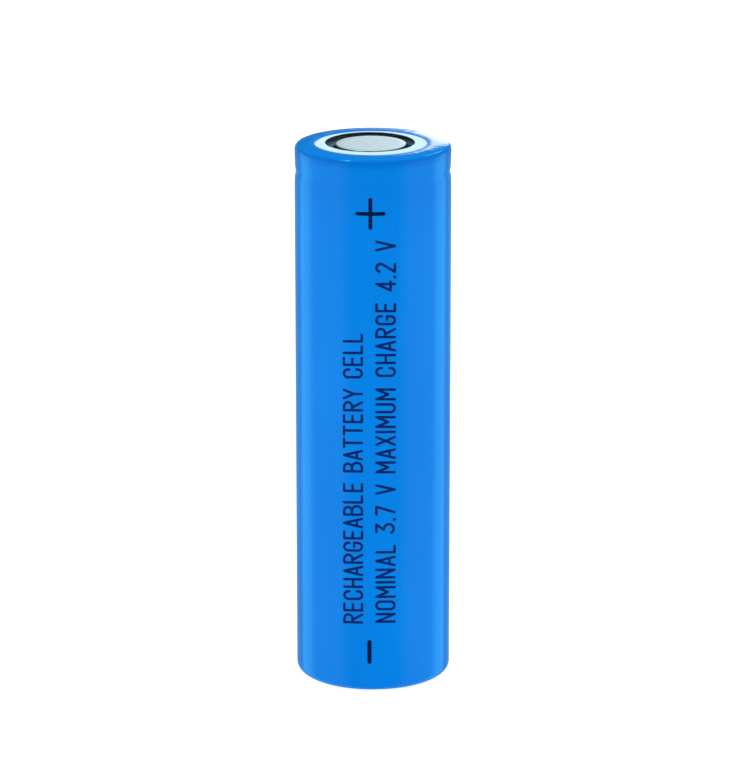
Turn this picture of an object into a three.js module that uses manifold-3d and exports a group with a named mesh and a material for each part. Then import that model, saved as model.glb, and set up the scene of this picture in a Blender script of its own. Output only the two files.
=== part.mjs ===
// Cylindrical lithium-ion cell, 18 mm x 65 mm class, flat positive end, in a heat-shrunk sleeve.
// Millimetres, +Z up. The origin is the centre of the negative end, on the plane the cell stands on,
// and +Z runs along the cell's axis towards the positive terminal.
//
// How it is built, from the outside in:
//   a PVC sleeve is shrunk over a drawn steel can and over a fibre washer on the can's crimped top edge;
//   the can is the negative terminal. It is necked by a rolled bead, and its top edge is crimped over a
//   plastic gasket that clamps the positive cap, the PTC ring and the aluminium vent disc;
//   under the vent disc hangs the current-interrupt plate, in its own insulator ring;
//   the wound electrode roll (two electrodes, two separators, centre pin, closing tape) stands between
//   a lower and an upper insulator disc, and two metal tabs join it to the can and to the plate.
import * as THREE from "three";
import { mergeVertices } from "three/addons/utils/BufferGeometryUtils.js";
import Module from "manifold-3d";

const wasm = await Module();
wasm.setup();

// ---------------------------------------------------------------- driving dimensions
const HEIGHT = 65.0; // overall, from the sleeve's base to the washer's raised edge
const FACETS = 40; // sides of the visible turned parts
const FACETS_IN = 32; // sides of the turned parts inside the can

// sleeve
const SLEEVE_T = 0.1; // film thickness after shrinking
const SLEEVE_R = 9.25; // largest outer radius, at the top shoulder
const SLEEVE_R_BODY = 9.21; // outer radius of the straight body
const SLEEVE_TOP_OPENING_R = 6.6; // the film's cut edge on the positive end
const SLEEVE_BASE_OPENING_R = 7.3; // the film's cut edge on the negative end
const SLEEVE_CREST_R = 7.19; // where the turned-in lip is highest
const SLEEVE_CREST_Z = 64.97;
const SLEEVE_CREST_FALL = 0.098; // from the crest to the start of the shoulder
const SLEEVE_LIP_FALL = 0.02; // from the crest to the cut edge
const SLEEVE_SHOULDER_W = 0.52; // outer corner at the top, across
const SLEEVE_SHOULDER_H = 0.66; // and its height
const SLEEVE_SHOULDER_TO = 84.5; // where the corner meets the lip, degrees
const SLEEVE_HEEL = 0.88; // outer corner radius at the bottom
const SLEEVE_DIP = 0.1; // how far the film sinks into the bead groove

// bead groove that necks the can under the cap assembly
const BEAD_Z = 61.66;
const BEAD_DEPTH = 1.3;
const BEAD_HALF_OUT = 0.69;
const BEAD_HALF_IN = 0.88;

// can
const CAN_R = 9.1;
const CAN_WALL = 0.22;
const CAN_FLOOR_Z = 0.11; // outer face of the can's floor, just inside the film's lip
const CAN_FLOOR_T = 0.3;
const CAN_HEEL = 0.78; // outer corner radius at the floor
const CAN_TOP_Z = 64.6; // top of the crimped edge
const CRIMP_T = 0.22;
const CRIMP_LIP_R = 6.35; // how far in the crimped edge reaches
const CRIMP_CURL = 0.6; // outer radius of the curl

// fibre washer
const WASHER_IN_R = 5.25;
const WASHER_OUT_R = 8.3;
const WASHER_T = 0.19;
const WASHER_CURL = 0.2; // how far the inner edge stands up
const WASHER_EDGE_T = 0.08; // the inner edge is pressed thin

// cap assembly, from the top down
const CAP_TOP_Z = 64.9;
const CAP_PLATEAU_R = 4.05; // half of the 8.1 mm contact face with its rounded edge
const CAP_FLANGE_R = 8.36;
const CAP_FLANGE_Z = [63.66, 64.02];
const CAP_VENTS = 3;
const CAP_VENT_W = 2.4;
const CAP_VENT_Z = [64.1, 64.5];
const PTC_R = [4.55, 8.34];
const PTC_Z = [63.35, 63.64];
const VENT_R = 8.36;
const VENT_FLANGE_Z = [63.0, 63.33];
const VENT_NUB_Z = 62.12; // underside of the welded nub at its centre
const PLATE_R = 6.2;
const PLATE_Z = [61.75, 62.1];
const PLATE_HOLES = 6;
const PLATE_HOLE_R = 0.65;
const PLATE_HOLE_PITCH_R = 3.4;

// wound roll
const ROLL_STEPS = 14; // facets in one turn
const ROLL_R0 = 1.95; // inner radius of the first turn
const ROLL_PITCH = 0.64; // separator + anode + separator + cathode
const SEPARATOR_T = 0.05;
const ELECTRODE_T = 0.25;
const LAYER_GAP = 0.01;
const SEPARATOR_Z = [0.92, 59.95];
const ANODE_Z = [1.4, 59.4];
const CATHODE_Z = [1.9, 58.9];
const TAPE_T = 0.05;
const TAPE_Z = [4, 57];

// centre pin
const PIN_R = [1.3, 1.6];
const PIN_Z = [1.0, 59.9];
const PIN_SLIT = 0.3;

// insulator discs
const UPPER_R = 8.78;
const UPPER_Z = [60.35, 60.65];
const LOWER_R = 8.5;
const LOWER_Z = [0.64, 0.84];

// tabs
const TAB_T = 0.1;
const CATHODE_TAB_W = 4.0;
const CATHODE_TAB_TURN = 5; // it leaves the roll on +X, after this many turns
const CATHODE_TAB_RUN_Z = [60.87, 61.68]; // lower and upper run of its fold
const CATHODE_TAB_FOLD_X = -3.2;
const CATHODE_TAB_END_X = 2.6;
const ANODE_TAB_W = 3.0;
const ANODE_TAB_TURN = 9.5; // it leaves the roll on -X
const ANODE_TAB_RUN_Z = 0.525;
const ANODE_TAB_END_X = 2.5;
const CATHODE_TAPE_X = [-2.2, 4.4];
const CATHODE_TAPE_T = 0.06;
const ANODE_TAPE_X = [-7.4, -4.2];
const ANODE_TAPE_T = 0.035;

// ---------------------------------------------------------------- small geometry helpers
const TURN = Math.PI * 2;

// Points of an arc in the (r, z) half plane, angles in degrees.
function arc(cr, cz, radius, from, to, steps, high = radius) {
  const pts = [];
  for (let i = 0; i <= steps; i++) {
    const a = ((from + ((to - from) * i) / steps) * Math.PI) / 180;
    pts.push([cr + radius * Math.cos(a), cz + high * Math.sin(a)]);
  }
  return pts;
}

function signedArea(pts) {
  let s = 0;
  for (let i = 0; i < pts.length; i++) {
    const [a, b] = pts[i];
    const [c, d] = pts[(i + 1) % pts.length];
    s += a * d - c * b;
  }
  return s / 2;
}

// A turned part: a profile in (r, z), revolved about Z. A ring's profile is closed on itself.
function turned(profile, facets) {
  const pts = profile.filter(
    (p, i) => i === 0 || Math.hypot(p[0] - profile[i - 1][0], p[1] - profile[i - 1][1]) > 1e-4,
  );
  if (signedArea(pts) < 0) pts.reverse();
  const onAxis = pts.findIndex((p) => p[0] === 0);
  let loop;
  if (onAxis < 0) loop = [...pts, pts[0]];
  else {
    // start at the lower axis point, end at the upper one
    const low = pts.reduce((best, p, i) => (p[0] === 0 && (best < 0 || p[1] < pts[best][1]) ? i : best), -1);
    loop = [...pts.slice(low), ...pts.slice(0, low)];
  }
  const g = new THREE.LatheGeometry(
    loop.map(([r, z]) => new THREE.Vector2(r, z)),
    facets,
  );
  g.rotateX(Math.PI / 2);
  return g;
}

// A flat outline in (x, y), with holes, between two heights.
function plate(outline, z0, z1, holes = []) {
  const shape = new THREE.Shape(outline.map(([x, y]) => new THREE.Vector2(x, y)));
  for (const h of holes) shape.holes.push(new THREE.Path(h.map(([x, y]) => new THREE.Vector2(x, y))));
  const g = new THREE.ExtrudeGeometry(shape, { depth: z1 - z0, bevelEnabled: false, steps: 1 });
  g.translate(0, 0, z0);
  return g;
}

function circle(cx, cy, r, n, phase = 0) {
  return Array.from({ length: n }, (_, i) => {
    const a = phase + (TURN * i) / n;
    return [cx + r * Math.cos(a), cy + r * Math.sin(a)];
  });
}

function rectangle(x0, y0, x1, y1) {
  return [
    [x0, y0],
    [x1, y0],
    [x1, y1],
    [x0, y1],
  ];
}

function toSolid(geometry) {
  const g = geometry.index ? geometry.toNonIndexed() : geometry.clone();
  g.deleteAttribute("normal");
  g.deleteAttribute("uv");
  const m = mergeVertices(g, 1e-4);
  return new wasm.Manifold(
    new wasm.Mesh({
      numProp: 3,
      vertProperties: new Float32Array(m.attributes.position.array),
      triVerts: new Uint32Array(m.index.array),
    }),
  );
}

function fromSolid(solid) {
  const m = solid.getMesh();
  const g = new THREE.BufferGeometry();
  g.setAttribute("position", new THREE.BufferAttribute(new Float32Array(m.vertProperties), 3));
  g.setIndex(new THREE.BufferAttribute(new Uint32Array(m.triVerts), 1));
  g.computeVertexNormals();
  return g;
}

function cut(geometry, ...tools) {
  let s = toSolid(geometry);
  for (const t of tools) s = s.subtract(toSolid(t));
  return fromSolid(s);
}

// A thin strip through stations. Each station is a list of points across the strip, all of the same
// count; the strip is given its thickness along the local normals.
function ribbon(stations, thickness) {
  const n = stations.length;
  const m = stations[0].length;
  const V = (p) => new THREE.Vector3(...p);
  const at = (i, j) => V(stations[Math.min(Math.max(i, 0), n - 1)][Math.min(Math.max(j, 0), m - 1)]);
  const top = [];
  const bottom = [];
  for (let i = 0; i < n; i++)
    for (let j = 0; j < m; j++) {
      const along = at(i + 1, j).sub(at(i - 1, j));
      const across = at(i, j + 1).sub(at(i, j - 1));
      const normal = along.cross(across).normalize().multiplyScalar(thickness / 2);
      top.push(at(i, j).add(normal));
      bottom.push(at(i, j).sub(normal));
    }
  const verts = [...top, ...bottom];
  const k = top.length;
  const id = (i, j, side) => (side ? k : 0) + i * m + j;
  const tris = [];
  const quad = (a, b, c, d) => tris.push(a, b, c, a, c, d);
  for (let i = 0; i < n - 1; i++)
    for (let j = 0; j < m - 1; j++) {
      quad(id(i, j, 0), id(i + 1, j, 0), id(i + 1, j + 1, 0), id(i, j + 1, 0));
      quad(id(i, j, 1), id(i, j + 1, 1), id(i + 1, j + 1, 1), id(i + 1, j, 1));
    }
  for (let i = 0; i < n - 1; i++) {
    quad(id(i, 0, 0), id(i, 0, 1), id(i + 1, 0, 1), id(i + 1, 0, 0));
    quad(id(i, m - 1, 0), id(i + 1, m - 1, 0), id(i + 1, m - 1, 1), id(i, m - 1, 1));
  }
  for (let j = 0; j < m - 1; j++) {
    quad(id(0, j, 0), id(0, j + 1, 0), id(0, j + 1, 1), id(0, j, 1));
    quad(id(n - 1, j, 0), id(n - 1, j, 1), id(n - 1, j + 1, 1), id(n - 1, j + 1, 0));
  }
  const g = new THREE.BufferGeometry();
  g.setAttribute("position", new THREE.Float32BufferAttribute(verts.flatMap((v) => [v.x, v.y, v.z]), 3));
  g.setIndex(tris);
  // faces out, whichever way the strip runs
  let volume = 0;
  for (let i = 0; i < tris.length; i += 3)
    volume += verts[tris[i]].dot(verts[tris[i + 1]].clone().cross(verts[tris[i + 2]]));
  if (volume < 0) {
    for (let i = 0; i < tris.length; i += 3) [tris[i + 1], tris[i + 2]] = [tris[i + 2], tris[i + 1]];
    g.setIndex(tris);
  }
  return g;
}

// ---------------------------------------------------------------- sleeve, washer, can
const bump = (u) => (Math.abs(u) >= 1 ? 0 : Math.cos((Math.PI * u) / 2) ** 2);

function sleeveProfile() {
  const t = SLEEVE_T;
  const dip = (z) => SLEEVE_DIP * bump((z - BEAD_Z) / 0.75);
  // outer face, bottom to top
  const heel = arc(SLEEVE_R_BODY - SLEEVE_HEEL, SLEEVE_HEEL, SLEEVE_HEEL, -90, 0, 3);
  const shoulderR = SLEEVE_R - SLEEVE_SHOULDER_W;
  const shoulderZ = SLEEVE_CREST_Z - SLEEVE_CREST_FALL - SLEEVE_SHOULDER_H * Math.sin((SLEEVE_SHOULDER_TO * Math.PI) / 180);
  const shoulder = arc(shoulderR, shoulderZ, SLEEVE_SHOULDER_W, 0, SLEEVE_SHOULDER_TO, 4, SLEEVE_SHOULDER_H);
  const neck = [-0.75, -0.35, 0, 0.35, 0.75].map((d) => [
    (d <= 0 ? SLEEVE_R_BODY - 0.02 : SLEEVE_R - 0.06) - dip(BEAD_Z + d),
    BEAD_Z + d,
  ]);
  const outer = [
    [SLEEVE_BASE_OPENING_R, 0],
    ...heel,
    ...neck,
    ...shoulder,
    [8.0, SLEEVE_CREST_Z - 0.025],
    [SLEEVE_CREST_R, SLEEVE_CREST_Z],
    [SLEEVE_TOP_OPENING_R, SLEEVE_CREST_Z - SLEEVE_LIP_FALL],
  ];
  // inner face, one film thickness inside it, top to bottom
  const inner = [
    [SLEEVE_TOP_OPENING_R, SLEEVE_CREST_Z - SLEEVE_LIP_FALL - t],
    [SLEEVE_CREST_R, SLEEVE_CREST_Z - t],
    [8.0, SLEEVE_CREST_Z - 0.025 - t],
    ...arc(shoulderR, shoulderZ, SLEEVE_SHOULDER_W - t, SLEEVE_SHOULDER_TO, 0, 4, SLEEVE_SHOULDER_H - t),
    ...neck.map(([r, z]) => [r - t, z]).reverse(),
    ...arc(SLEEVE_R_BODY - SLEEVE_HEEL, SLEEVE_HEEL, SLEEVE_HEEL - t, 0, -90, 3),
    [SLEEVE_BASE_OPENING_R, t],
  ];
  return [...outer, ...inner];
}

function washerProfile() {
  const z = CAN_TOP_Z + 0.01;
  return [
    [WASHER_IN_R, z + WASHER_T + WASHER_CURL - WASHER_EDGE_T],
    [5.7, z + 0.15],
    [6.5, z + 0.06],
    [7.2, z],
    [WASHER_OUT_R, z],
    [WASHER_OUT_R, z + WASHER_T],
    [7.2, z + WASHER_T],
    [6.5, z + WASHER_T + 0.06],
    [5.7, z + WASHER_T + 0.15],
    [WASHER_IN_R, z + WASHER_T + WASHER_CURL],
  ];
}

// Half width and depth of the rolled groove, as fractions.
const GROOVE = [
  [-1.1, 0],
  [-0.88, 0.3],
  [-0.52, 0.84],
  [0, 1],
  [0.52, 0.84],
  [0.88, 0.3],
  [1.1, 0],
];

function canProfile() {
  const floor = CAN_FLOOR_Z;
  const curlR = SLEEVE_R - SLEEVE_T - 0.01; // the crimped shoulder is a little wider than the body
  const curl = CRIMP_CURL;
  const outerGroove = GROOVE.map(([u, d]) => [CAN_R - 0.02 - BEAD_DEPTH * d, BEAD_Z + u * BEAD_HALF_OUT]);
  const innerGroove = GROOVE.map(([u, d]) => [
    CAN_R - CAN_WALL - (BEAD_DEPTH + 0.02) * d,
    BEAD_Z + u * BEAD_HALF_IN,
  ]);
  return [
    [0, floor],
    [7.2, floor],
    ...arc(CAN_R - CAN_HEEL, floor + CAN_HEEL, CAN_HEEL, -90, 0, 3),
    ...outerGroove,
    ...arc(curlR - curl, CAN_TOP_Z - curl, curl, 0, 90, 4),
    [CRIMP_LIP_R, CAN_TOP_Z],
    [CRIMP_LIP_R, CAN_TOP_Z - CRIMP_T],
    ...arc(curlR - curl, CAN_TOP_Z - curl, curl - CRIMP_T, 90, 0, 3),
    ...innerGroove.reverse(),
    ...arc(CAN_R - CAN_WALL - 0.45, floor + CAN_FLOOR_T + 0.45, 0.45, 0, -90, 2),
    [0, floor + CAN_FLOOR_T],
  ];
}

// ---------------------------------------------------------------- cap assembly
function gasketProfile() {
  const out = 8.84;
  return [
    [6.45, 62.6],
    [8.3, 62.6],
    [8.78, 62.92],
    ...arc(8.36, 63.87, out - 8.36, 0, 90, 3),
    [4.8, 64.35],
    [4.72, 64.28],
    [4.72, 64.12],
    [4.8, 64.05],
    [8.34, 64.05],
    [8.42, 63.95],
    [8.42, 62.98],
    [6.45, 62.98],
  ];
}

function capProfile() {
  const [f0, f1] = CAP_FLANGE_Z;
  const top = CAP_TOP_Z;
  const r = CAP_PLATEAU_R;
  return [
    [0, top - 0.33],
    [r - 0.5, top - 0.33],
    [r - 0.27, top - 0.43],
    [r - 0.1, top - 0.73],
    [r, f0 + 0.14],
    [r + 0.14, f0],
    [CAP_FLANGE_R, f0],
    [CAP_FLANGE_R, f1],
    [r + 0.44, f1],
    [r + 0.33, f1 + 0.06],
    [r + 0.2, top - 0.58],
    [r + 0.08, top - 0.2],
    [r + 0.02, top - 0.08],
    [r - 0.1, top],
    [0, top],
  ];
}

function capGeometry() {
  const tools = [];
  for (let i = 0; i < CAP_VENTS; i++) {
    const box = new THREE.BoxGeometry(1.6, CAP_VENT_W, CAP_VENT_Z[1] - CAP_VENT_Z[0]);
    box.translate(CAP_PLATEAU_R, 0, (CAP_VENT_Z[0] + CAP_VENT_Z[1]) / 2);
    box.rotateZ((TURN * i) / CAP_VENTS + Math.PI / 2);
    tools.push(box);
  }
  return cut(turned(capProfile(), FACETS), ...tools);
}

function ventDiscProfile() {
  const [f0, f1] = VENT_FLANGE_Z;
  const nub = VENT_NUB_Z;
  return [
    [0, nub],
    [1.05, nub],
    [1.35, nub + 0.13],
    [2.4, 62.72],
    [5.05, 62.72],
    [5.4, 62.79],
    [5.9, f0],
    [VENT_R, f0],
    [VENT_R, f1],
    [6.0, f1],
    [5.7, f1 - 0.07],
    [5.25, 63.03],
    [4.6, 63.0],
    [4.45, 62.88],
    [4.3, 63.0],
    [2.35, 63.0],
    [1.2, nub + 0.34],
    [0, nub + 0.3],
  ];
}

function cidRingProfile() {
  return [
    [4.85, PLATE_Z[1] + 0.02],
    [6.25, PLATE_Z[1] + 0.02],
    [6.25, 62.9],
    [6.0, 62.9],
    [5.45, 62.7],
    [4.85, 62.68],
  ];
}

function weldPlate() {
  const holes = Array.from({ length: PLATE_HOLES }, (_, i) => {
    const a = (TURN * (i + 0.5)) / PLATE_HOLES;
    return circle(PLATE_HOLE_PITCH_R * Math.cos(a), PLATE_HOLE_PITCH_R * Math.sin(a), PLATE_HOLE_R, 12);
  });
  return plate(circle(0, 0, PLATE_R, FACETS_IN), PLATE_Z[0], PLATE_Z[1], holes);
}

// ---------------------------------------------------------------- wound roll
// A point of the winding: "turns" counts turns from the start, "offset" is measured outwards from the
// inner face of that turn's first layer. Between steps the layers run straight, and stay parallel.
function windingPoint(turns, offset) {
  const step = 1 / ROLL_STEPS;
  const i = Math.floor(turns / step + 1e-9);
  const t = turns / step - i;
  const vertex = (k) => {
    const a = TURN * k * step;
    const r = ROLL_R0 + offset + ROLL_PITCH * k * step;
    return [r * Math.cos(a), r * Math.sin(a)];
  };
  const [x0, y0] = vertex(i);
  if (t < 1e-9) return [x0, y0];
  const [x1, y1] = vertex(i + 1);
  // where the ray at this angle meets the straight run
  const a = TURN * turns;
  const [c, s] = [Math.cos(a), Math.sin(a)];
  const [dx, dy] = [x1 - x0, y1 - y0];
  const u = (s * x0 - c * y0) / (c * dy - s * dx);
  return [x0 + u * dx, y0 + u * dy];
}

function wound(from, to, offset, thickness, [z0, z1]) {
  const step = 1 / ROLL_STEPS;
  const at = [from];
  for (let k = Math.floor(from / step + 1e-6) + 1; k * step < to - 1e-6; k++) at.push(k * step);
  at.push(to);
  const outer = at.map((t) => windingPoint(t, offset + thickness));
  const inner = at.map((t) => windingPoint(t, offset));
  return plate([...inner, ...outer.reverse()], z0, z1);
}

const OFF_SEP_A = 0;
const OFF_ANODE = OFF_SEP_A + SEPARATOR_T + LAYER_GAP;
const OFF_SEP_B = OFF_ANODE + ELECTRODE_T + LAYER_GAP;
const OFF_CATHODE = OFF_SEP_B + SEPARATOR_T + LAYER_GAP;
const OFF_TAPE = OFF_SEP_B + SEPARATOR_T + LAYER_GAP;

// Points across a tab where it stands between two separators, following the winding.
function tabFoot(turns, offset, width, z) {
  const r = ROLL_R0 + offset + ROLL_PITCH * turns;
  const half = width / 2 / r / TURN;
  const at = [-1, -0.5, 0, 0.5, 1].map((k) => turns + k * half);
  return at.map((t) => [...windingPoint(t, offset), z]);
}

// The same number of points across a tab, straight across at x, y from +width/2 to -width/2.
function tabAcross(x, width, z, flip) {
  return [-1, -0.5, 0, 0.5, 1].map((k) => [x, (flip ? -1 : 1) * k * (width / 2), z]);
}

function blendRows(a, b, t) {
  return a.map((p, i) => p.map((v, k) => v * (1 - t) + b[i][k] * t));
}

function cathodeTab() {
  const off = OFF_CATHODE + ELECTRODE_T / 2;
  const w = CATHODE_TAB_W;
  const foot = (z) => tabFoot(CATHODE_TAB_TURN, off, w, z);
  const x = ROLL_R0 + off + ROLL_PITCH * CATHODE_TAB_TURN - 0.12;
  const flat = (z) => tabAcross(x, w, z, false);
  const [zl, zu] = CATHODE_TAB_RUN_Z;
  const rb = 0.3;
  const rf = (zu - zl) / 2;
  const rows = [foot(CATHODE_Z[1] + 0.02), foot(59.98)];
  for (const t of [0.33, 0.66, 1]) rows.push(blendRows(foot(59.98 + 0.45 * t), flat(59.98 + 0.45 * t), t));
  for (const a of [0, 30, 60, 90]) {
    const q = (a * Math.PI) / 180;
    rows.push(tabAcross(x - rb + rb * Math.cos(q), w, zl - rb + rb * Math.sin(q), false));
  }
  for (const a of [0, 30, 60, 90, 120, 150, 180]) {
    const q = (a * Math.PI) / 180;
    rows.push(tabAcross(CATHODE_TAB_FOLD_X - rf * Math.sin(q), w, zl + rf - rf * Math.cos(q), false));
  }
  rows.push(tabAcross(CATHODE_TAB_END_X, w, zu, false));
  return ribbon(rows, TAB_T);
}

function anodeTab() {
  const off = OFF_ANODE + ELECTRODE_T / 2;
  const w = ANODE_TAB_W;
  const foot = (z) => tabFoot(ANODE_TAB_TURN, off, w, z);
  const r = ROLL_R0 + off + ROLL_PITCH * ANODE_TAB_TURN;
  const x = -(r - 0.05);
  const z = ANODE_TAB_RUN_Z;
  const rb = 0.16;
  const rows = [foot(ANODE_Z[0] - 0.02), foot(0.93)];
  rows.push(blendRows(foot(z + rb + 0.06), tabAcross(x, w, z + rb + 0.06, true), 1));
  for (const a of [0, 30, 60, 90]) {
    const q = (a * Math.PI) / 180;
    rows.push(tabAcross(x + rb - rb * Math.cos(q), w, z + rb - rb * Math.sin(q), true));
  }
  rows.push(tabAcross(ANODE_TAB_END_X, w, z, true));
  return ribbon(rows, TAB_T);
}

// A band of tape folded round the flat run of a tab.
function tabTape(width, z, [x0, x1], clearance, thickness) {
  const iy = width / 2 + 0.02;
  const iz = TAB_T / 2 + clearance;
  const shape = new THREE.Shape(
    rectangle(-iy - thickness, -iz - thickness, iy + thickness, iz + thickness).map(([a, b]) => new THREE.Vector2(a, b)),
  );
  shape.holes.push(new THREE.Path(rectangle(-iy, -iz, iy, iz).map(([a, b]) => new THREE.Vector2(a, b))));
  const g = new THREE.ExtrudeGeometry(shape, { depth: x1 - x0, bevelEnabled: false, steps: 1 });
  // the outline's (x, y) becomes (y, z), and the length runs along X
  g.applyMatrix4(new THREE.Matrix4().set(0, 0, 1, x0, 1, 0, 0, 0, 0, 1, 0, z, 0, 0, 0, 1));
  return g;
}

function centrePin() {
  const n = 20;
  const open = (side) => Math.asin(PIN_SLIT / 2 / PIN_R[side]);
  const run = (side) =>
    Array.from({ length: n + 1 }, (_, i) => {
      const a = open(side) + ((TURN - 2 * open(side)) * i) / n + Math.PI / 2;
      return [PIN_R[side] * Math.cos(a), PIN_R[side] * Math.sin(a)];
    });
  return plate([...run(1), ...run(0).reverse()], PIN_Z[0], PIN_Z[1]);
}

function upperInsulator() {
  const holes = [circle(0, 0, 1.5, 20)];
  holes.push(rectangle(5.0, -2.5, 6.1, 2.5));
  for (const a of [90, 180, 270]) {
    const q = (a * Math.PI) / 180;
    holes.push(circle(5.2 * Math.cos(q), 5.2 * Math.sin(q), 1.1, 14));
  }
  return plate(circle(0, 0, UPPER_R, FACETS_IN), UPPER_Z[0], UPPER_Z[1], holes);
}

function lowerInsulator() {
  const disc = plate(circle(0, 0, LOWER_R, FACETS_IN), LOWER_Z[0], LOWER_Z[1], [circle(0, 0, 1.8, 20)]);
  const notch = new THREE.BoxGeometry(2.4, ANODE_TAB_W + 0.8, 1);
  notch.translate(-(7.75 + 1.2), 0, LOWER_Z[0] + 0.1);
  return cut(disc, notch);
}

// ---------------------------------------------------------------- the assembly
const METAL = { metalness: 1.0 };
const cell = new THREE.Group();
cell.name = "battery_cell";

function add(parent, name, geometry, color, roughness, extra = {}) {
  const mesh = new THREE.Mesh(
    geometry,
    new THREE.MeshStandardMaterial({ color, roughness, metalness: 0, ...extra }),
  );
  mesh.name = name;
  parent.add(mesh);
  return mesh;
}

const covering = new THREE.Group(); // what keeps the can insulated
add(covering, "shrink_sleeve", turned(sleeveProfile(), FACETS), 0x0c7fdf, 0.3);
add(covering, "insulating_washer", turned(washerProfile(), FACETS), 0xf2f6f7, 0.8);

const enclosure = new THREE.Group(); // the pressure vessel
add(enclosure, "steel_can", turned(canProfile(), FACETS), 0xc4c8cb, 0.3, METAL);
add(enclosure, "sealing_gasket", turned(gasketProfile(), FACETS), 0x15181c, 0.55);

const head = new THREE.Group(); // positive terminal and safety parts
add(head, "positive_cap", capGeometry(), 0xd2d8dc, 0.25, METAL);
add(head, "ptc_ring", turned([[PTC_R[0], PTC_Z[0]], [PTC_R[1], PTC_Z[0]], [PTC_R[1], PTC_Z[1]], [PTC_R[0], PTC_Z[1]]], FACETS_IN), 0x8f9396, 0.5, METAL);
add(head, "vent_disc", turned(ventDiscProfile(), FACETS_IN), 0xd9dbdd, 0.35, METAL);
add(head, "cid_insulator_ring", turned(cidRingProfile(), FACETS_IN), 0xe8e4d8, 0.5);
add(head, "cid_weld_plate", weldPlate(), 0xd9dbdd, 0.35, METAL);

const roll = new THREE.Group(); // electrodes, separators and what holds them
add(roll, "inner_separator", wound(0, 9.8, OFF_SEP_B, SEPARATOR_T, SEPARATOR_Z), 0xf4f4f0, 0.6);
add(roll, "outer_separator", wound(0, 10, OFF_SEP_A, SEPARATOR_T, SEPARATOR_Z), 0xf4f4f0, 0.6);
add(roll, "anode_sheet", wound(0.4, 9.6, OFF_ANODE, ELECTRODE_T, ANODE_Z), 0x3a3b3d, 0.8);
add(roll, "cathode_sheet", wound(0.9, 8.6, OFF_CATHODE, ELECTRODE_T, CATHODE_Z), 0x1d1d1f, 0.8);
add(roll, "roll_closing_tape", wound(9.05, 9.9, OFF_TAPE, TAPE_T, TAPE_Z), 0xd8c27a, 0.4);
add(roll, "center_pin", centrePin(), 0xb9bcbf, 0.35, METAL);

const joining = new THREE.Group(); // tabs and the discs that keep the roll off the metal
add(joining, "cathode_tab", cathodeTab(), 0xd7d9db, 0.35, METAL);
add(
  joining,
  "cathode_tab_tape",
  tabTape(CATHODE_TAB_W, CATHODE_TAB_RUN_Z[0], CATHODE_TAPE_X, 0.012, CATHODE_TAPE_T),
  0xc9922e,
  0.35,
);
add(joining, "anode_tab", anodeTab(), 0xb7b5ad, 0.35, METAL);
add(
  joining,
  "anode_tab_tape",
  tabTape(ANODE_TAB_W, ANODE_TAB_RUN_Z, ANODE_TAPE_X, 0.01, ANODE_TAPE_T),
  0xc9922e,
  0.35,
);
add(joining, "upper_insulator", upperInsulator(), 0xe9e6dc, 0.6);
add(joining, "lower_insulator", lowerInsulator(), 0xe9e6dc, 0.6);

cell.add(covering, enclosure, head, roll, joining);
export default cell;
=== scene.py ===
import math

import bmesh
import bpy
from mathutils import Matrix, Vector, geometry


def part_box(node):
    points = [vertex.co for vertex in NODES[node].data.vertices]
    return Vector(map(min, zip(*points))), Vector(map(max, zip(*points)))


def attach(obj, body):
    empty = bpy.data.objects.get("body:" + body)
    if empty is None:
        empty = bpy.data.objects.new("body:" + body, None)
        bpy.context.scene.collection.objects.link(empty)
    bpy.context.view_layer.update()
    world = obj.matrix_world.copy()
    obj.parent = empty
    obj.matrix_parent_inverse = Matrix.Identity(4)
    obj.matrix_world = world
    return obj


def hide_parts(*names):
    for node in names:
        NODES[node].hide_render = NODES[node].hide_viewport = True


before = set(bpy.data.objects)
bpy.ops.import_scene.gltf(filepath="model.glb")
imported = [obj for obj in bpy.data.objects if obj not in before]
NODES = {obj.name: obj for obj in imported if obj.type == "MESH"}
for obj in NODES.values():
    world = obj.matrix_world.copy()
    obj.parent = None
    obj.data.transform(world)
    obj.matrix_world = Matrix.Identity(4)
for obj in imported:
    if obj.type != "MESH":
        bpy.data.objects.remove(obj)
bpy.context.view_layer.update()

MM = 0.001
TAU = math.tau
scene = bpy.context.scene
scene.view_settings.view_transform = "Standard"
scene.view_settings.look = "None"


# ------------------------------------------------------------------ sizes taken from the frame, in millimetres
def extent(node):
    lo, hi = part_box(node)
    return [round(v / MM, 4) for v in lo], [round(v / MM, 4) for v in hi]


S_LO, S_HI = extent("shrink_sleeve")
W_LO, W_HI = extent("insulating_washer")
C_LO, C_HI = extent("steel_can")
G_LO, G_HI = extent("sealing_gasket")
P_LO, P_HI = extent("positive_cap")

R_TOP = S_HI[0]  # widest, at the shoulder
R_BODY = R_TOP - 0.04  # straight side
HEIGHT = S_HI[2]
BEAD_Z = 61.66
FILM = 0.10
LIP_FILM = 0.07  # the film is drawn thinner at its top edge
LIP_TOP_R = 6.60
CREST_R = 7.19  # where the lip is highest
CREST_Z = HEIGHT - 0.03
LIP_TOP_Z = CREST_Z - 0.006
LIP_TILT = math.radians(7)
LIP_SLOPE = math.tan(LIP_TILT)  # of the lip where it meets the shoulder
LIP_ASIDE = -0.2  # the shrunk opening sits a little off centre
LIP_LOW_R = 7.30
R_SHOULDER = R_TOP - 0.05
SHOULDER = 0.48  # across
SHOULDER_H = 0.62  # and up
HEEL = 0.88


# ------------------------------------------------------------------ repeatable noise
def hash01(i, j, k=0):
    n = (i * 374761393 + j * 668265263 + k * 2147483647 + 1013904223) & 0xFFFFFFFF
    n = ((n ^ (n >> 13)) * 1274126177) & 0xFFFFFFFF
    return ((n ^ (n >> 16)) & 0xFFFFFF) / float(0xFFFFFF)


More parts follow.
